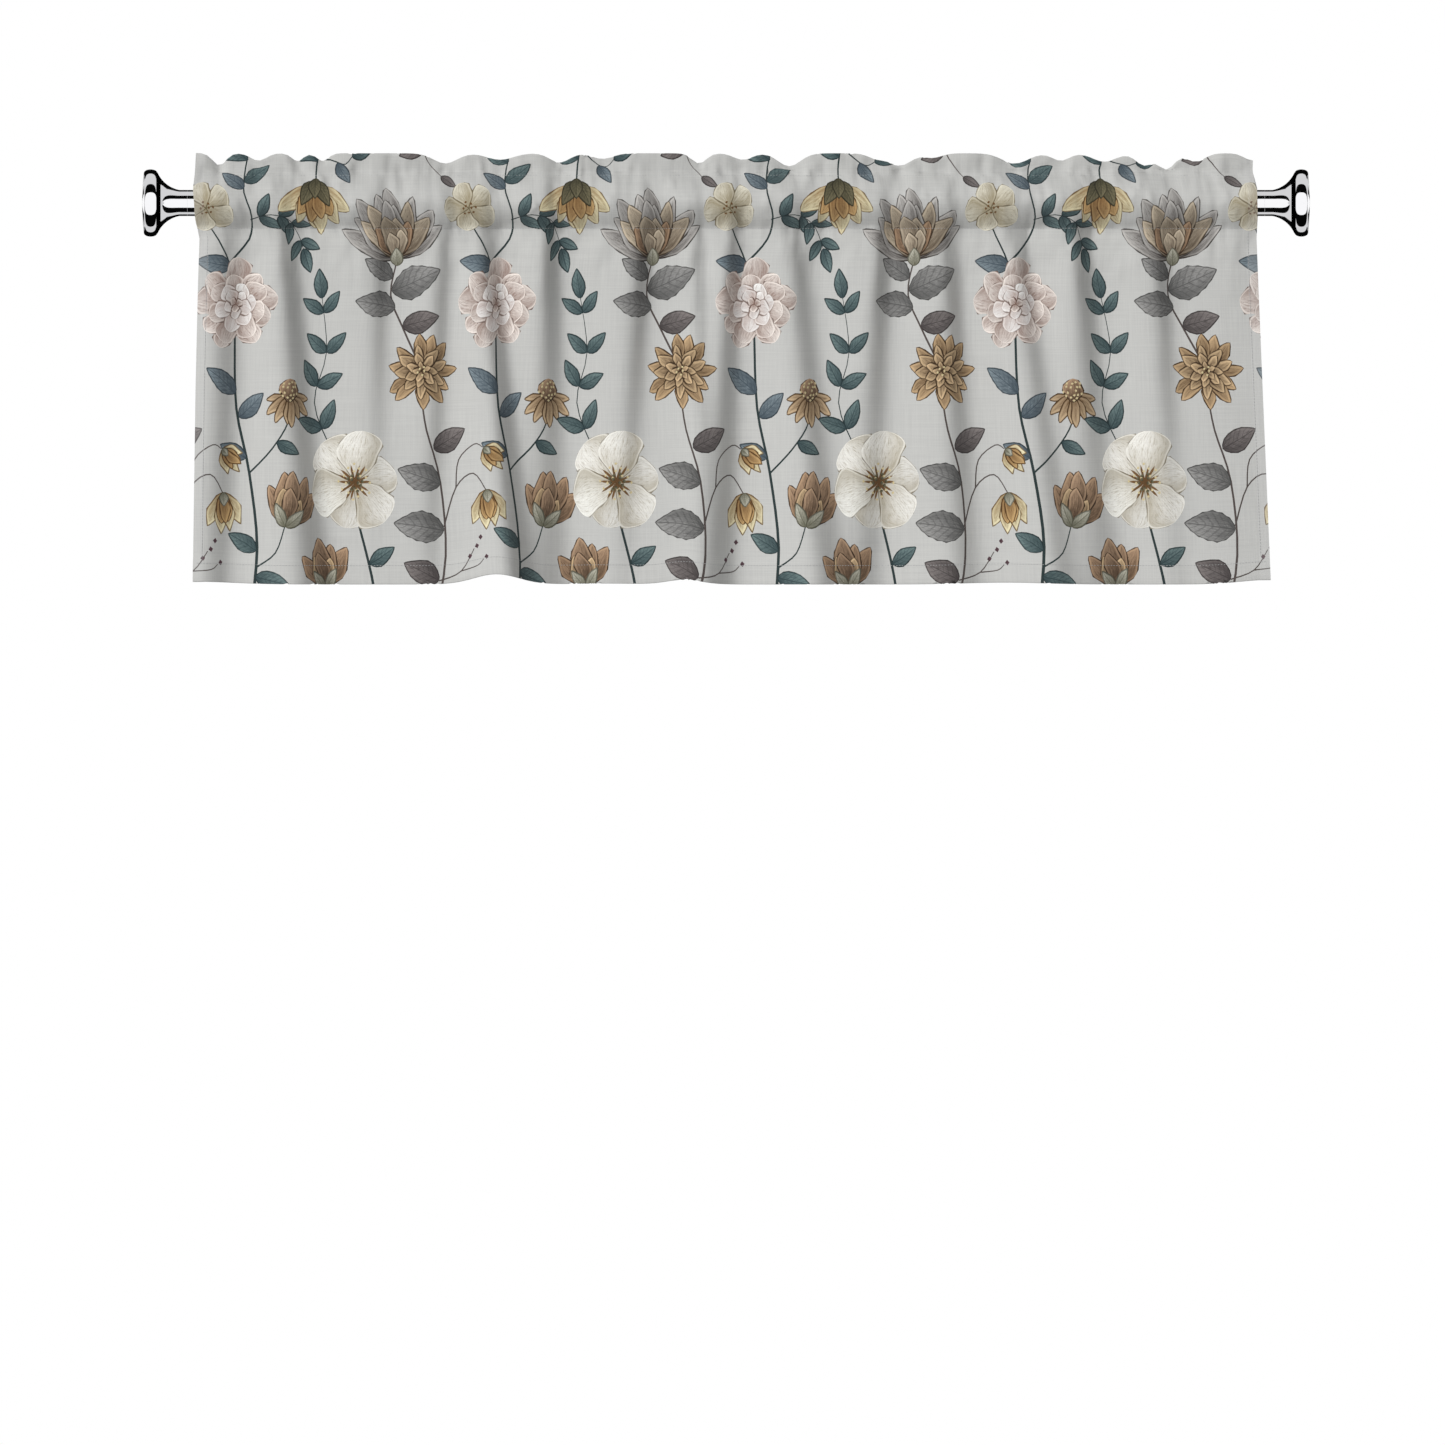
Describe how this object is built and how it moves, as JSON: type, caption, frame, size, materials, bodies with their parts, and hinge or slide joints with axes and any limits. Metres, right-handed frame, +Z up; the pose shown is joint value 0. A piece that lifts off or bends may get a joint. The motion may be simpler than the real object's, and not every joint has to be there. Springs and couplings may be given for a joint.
{
  "type": "window valance on a curtain rod",
  "caption": "Short window valance of printed cloth, gathered on a plain round rod by its rod pocket, with a standing ruffled heading and turned disc finials.",
  "frame": {"origin": "the middle of the rod's axis, where the mount rod_in_brackets is", "axes": "+X along the rod, to the right as seen from the front; the front of the cloth faces -Y; +Z up"},
  "size_m": [1.256, 0.0724, 0.4634],
  "materials": {
    "printed_cloth": "matte plain weave with a botanical print on a light grey ground",
    "polished_chrome": "mirror polished"
  },
  "bodies": {
    "root": {"valance": "printed_cloth", "rod": "polished_chrome", "finial_left": "polished_chrome", "finial_right": "polished_chrome"}
  },
  "joints": []
}
